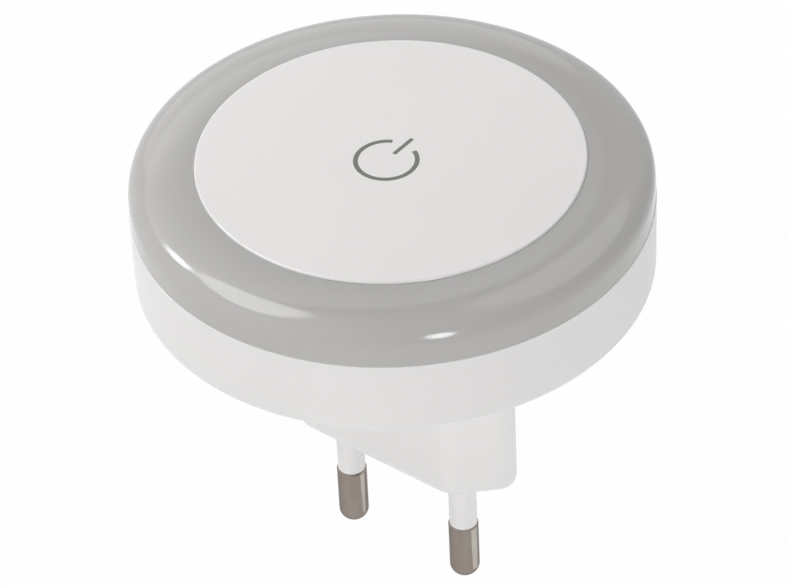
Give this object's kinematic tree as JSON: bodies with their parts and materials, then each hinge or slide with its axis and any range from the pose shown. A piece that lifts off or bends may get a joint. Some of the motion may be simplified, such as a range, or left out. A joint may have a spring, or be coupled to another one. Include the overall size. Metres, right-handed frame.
{
  "type": "night light",
  "caption": "Round plug-in LED night light with an opal diffuser ring, a round press cap with a switch sign, and a flat European plug boss.",
  "frame": {"origin": "centre of the plug face, midway between the two pins, at the height where the socket's face meets it", "axes": "+Z from the plug face to the front cap, X along the line of the two pins, +Y towards the top of the switch sign"},
  "size_m": [0.0664, 0.0664, 0.0658],
  "materials": {
    "white_housing": "smooth moulded white, soft gloss",
    "opal_diffuser": "polished opal plastic, unlit, pale warm grey",
    "white_cap": "fine satin white with a printed grey switch sign",
    "white_inner": "matte white, inside only",
    "white_board": "white solder resist",
    "led_package": "white package with a yellow lens",
    "steel_screw": "zinc-plated steel",
    "black_plastic": "black moulded plastic",
    "chip_ceramic": "dark ceramic chip",
    "power_board": "green solder resist",
    "capacitor_box": "yellow moulded box",
    "capacitor_can": "dark sleeved can",
    "fuse_body": "blue-green lacquer",
    "nickel_pin": "nickel-plated brass, drawn, slightly warm",
    "white_sleeve": "smooth white insulating sleeve",
    "red_wire": "red insulation",
    "black_wire": "black insulation"
  },
  "bodies": {
    "base": {"base_housing": "white_housing", "diffuser_ring": "opal_diffuser", "reflector": "white_inner", "led_board": "white_board", "leds": "led_package", "board_screws": "steel_screw", "switch_base": "black_plastic", "switch_cover": "steel_screw", "control_chip": "black_plastic", "chip_resistors": "chip_ceramic", "pin_clamp": "white_inner", "clamp_screw": "steel_screw", "power_board": "power_board", "film_capacitor": "capacitor_box", "smoothing_capacitor": "capacitor_can", "fuse_resistor": "fuse_body", "bridge_rectifier": "black_plastic", "pin_left": "nickel_pin", "sleeve_left": "white_sleeve", "pin_right": "nickel_pin", "sleeve_right": "white_sleeve", "link_wire_red": "red_wire", "link_wire_black": "black_wire"},
    "cap": {"front_cap": "white_cap"},
    "plunger": {"switch_plunger": "black_plastic"}
  },
  "joints": [
    {"name": "cap_press", "type": "slide", "parent": "base", "child": "cap", "axis": [0, 0, -1], "range_m": [0, 0.0005], "stiffness_N_per_m": 2500, "springref_m": -0.0004},
    {"name": "plunger_press", "type": "slide", "parent": "base", "child": "plunger", "axis": [0, 0, -1], "range_m": [0, 0.0005]}
  ],
  "couplings": [
    {"joint": "plunger_press", "follows": "cap_press", "ratio": 1}
  ]
}
